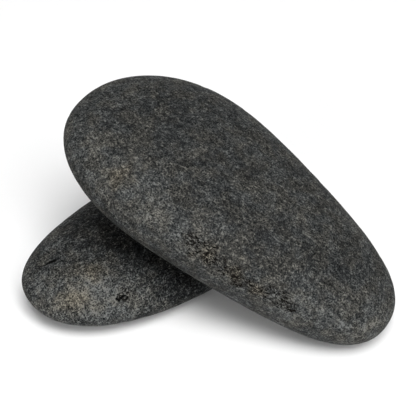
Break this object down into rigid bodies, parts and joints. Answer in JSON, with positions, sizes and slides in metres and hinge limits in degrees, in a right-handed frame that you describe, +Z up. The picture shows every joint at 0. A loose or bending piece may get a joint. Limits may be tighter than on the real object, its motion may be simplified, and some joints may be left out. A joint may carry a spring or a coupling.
{
  "type": "basalt massage stones",
  "caption": "Smooth basalt massage stones: a thick pebble with one blunt end leans across a thinner pebble that lies flat.",
  "frame": {"origin": "on the table, at the centre of the pair's common bounding box", "axes": "+Z up from the table. +X towards the side where the upper stone's narrow end rests, which is the pair's longest side. +Y towards the back, where the far end of the lower stone lies."},
  "size_m": [0.1376, 0.1206, 0.0712],
  "materials": {
    "lower_basalt": "matte",
    "upper_basalt": "matte"
  },
  "bodies": {
    "lower_stone": {"lower_stone": "lower_basalt"},
    "upper_stone": {"upper_stone": "upper_basalt"}
  },
  "joints": [
    {"name": "upper_stone_lift", "type": "slide", "parent": "lower_stone", "child": "upper_stone", "axis": [0, 0, 1], "range_m": [0, 0.08]}
  ]
}
